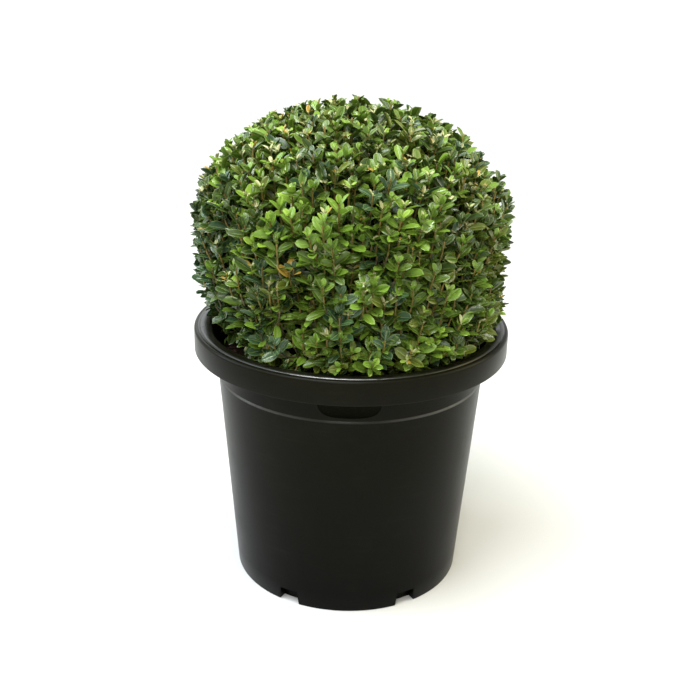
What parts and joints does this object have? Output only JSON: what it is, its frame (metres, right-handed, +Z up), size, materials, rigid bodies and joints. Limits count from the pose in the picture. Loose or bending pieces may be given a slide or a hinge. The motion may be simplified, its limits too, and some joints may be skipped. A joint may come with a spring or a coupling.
{
  "type": "box topiary ball in a nursery pot",
  "caption": "Clipped box shrub, a leafy drum with a domed top on a short hidden stem, in a round tapered black plastic nursery pot with a hooked rim and drain notches in its foot.",
  "frame": {"origin": "centre of the pot's foot, on the surface that it stands on", "axes": "+Z up, the front of the plant towards -Y, +X to the right of a viewer at the front"},
  "size_m": [0.3334, 0.3353, 0.5158],
  "materials": {
    "pot_plastic": "satin",
    "potting_mix": "matte",
    "bark": "matte",
    "foliage": "satin"
  },
  "bodies": {
    "root": {"pot": "pot_plastic", "potting_mix": "potting_mix", "trunk": "bark", "bough_1": "bark", "bough_2": "bark", "bough_3": "bark", "bough_4": "bark", "bough_5": "bark", "clipped_crown": "foliage"}
  },
  "joints": []
}
